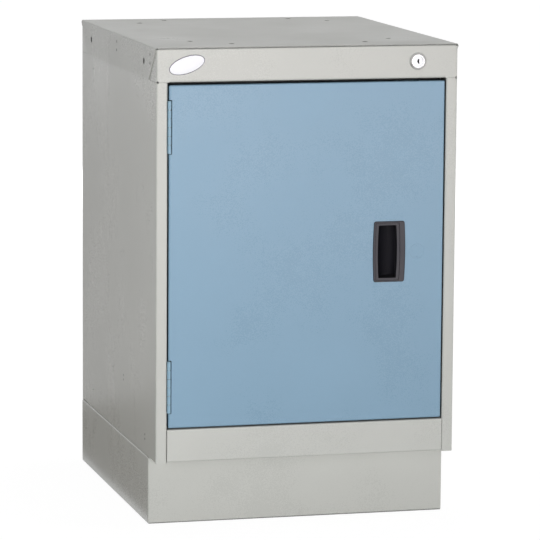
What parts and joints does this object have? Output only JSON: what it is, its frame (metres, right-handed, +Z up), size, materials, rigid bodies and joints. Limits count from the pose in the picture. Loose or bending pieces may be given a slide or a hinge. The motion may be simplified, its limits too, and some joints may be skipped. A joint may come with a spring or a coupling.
{
  "type": "pedestal cabinet",
  "caption": "Steel under-bench pedestal cabinet with an inset hinged door, flush pull, cam lock in the cap, adjustable shelf and a set-back plinth.",
  "frame": {"origin": "centre of the footprint of the part's box, on the floor under the plinth", "axes": "+X to the right seen from the front, +Y to the back, +Z up; the door faces -Y"},
  "size_m": [0.457, 0.5368, 0.711],
  "materials": {
    "grey_paint": "pale grey powder coat, satin",
    "blue_paint": "light blue powder coat, satin",
    "zinc_plate": "bright zinc plate",
    "chrome_plate": "polished chrome plate",
    "white_enamel": "white enamel, plain",
    "charcoal_plastic": "moulded black plastic, fine texture",
    "light_plastic": "moulded light plastic",
    "ferrite": "sintered magnet, matt",
    "black_rubber": "moulded rubber"
  },
  "bodies": {
    "case": {"side_panel_left": "grey_paint", "side_panel_right": "grey_paint", "back_panel": "grey_paint", "bottom_panel": "grey_paint", "cap_top": "grey_paint", "cap_front": "grey_paint", "cap_rear": "grey_paint", "cap_channel": "grey_paint", "shelf_upright_front_left": "grey_paint", "shelf_upright_rear_left": "grey_paint", "shelf_upright_front_right": "grey_paint", "shelf_upright_rear_right": "grey_paint", "shelf": "grey_paint", "shelf_clips": "zinc_plate", "plinth_wrap": "grey_paint", "plinth_rear": "grey_paint", "plinth_bolts": "zinc_plate", "plinth_washers": "zinc_plate", "plinth_nuts": "zinc_plate", "upper_hinge_frame_leaf": "blue_paint", "upper_hinge_pin": "zinc_plate", "lower_hinge_frame_leaf": "blue_paint", "lower_hinge_pin": "zinc_plate", "hinge_rivets": "zinc_plate", "lock_body": "chrome_plate", "lock_nut": "zinc_plate", "badge_plate": "white_enamel", "catch_bracket": "zinc_plate", "catch_housing": "light_plastic", "catch_magnet": "ferrite", "catch_poles": "zinc_plate", "catch_screws": "zinc_plate", "door_bumpers": "black_rubber"},
    "door": {"door_panel": "blue_paint", "door_stiffener": "blue_paint", "pull_handle": "charcoal_plastic", "upper_hinge_door_leaf": "blue_paint", "lower_hinge_door_leaf": "blue_paint"},
    "lock": {"lock_plug": "chrome_plate", "lock_cam": "zinc_plate", "lock_screw": "zinc_plate"}
  },
  "joints": [
    {"name": "door_hinge", "type": "hinge", "parent": "case", "child": "door", "pos_m": [-0.2078, -0.2659, 0.405], "axis": [0, 0, -1], "range_deg": [0, 180]},
    {"name": "lock_turn", "type": "hinge", "parent": "case", "child": "lock", "pos_m": [0.166, -0.2646, 0.686], "axis": [0, -1, 0], "range_deg": [0, 90]}
  ]
}
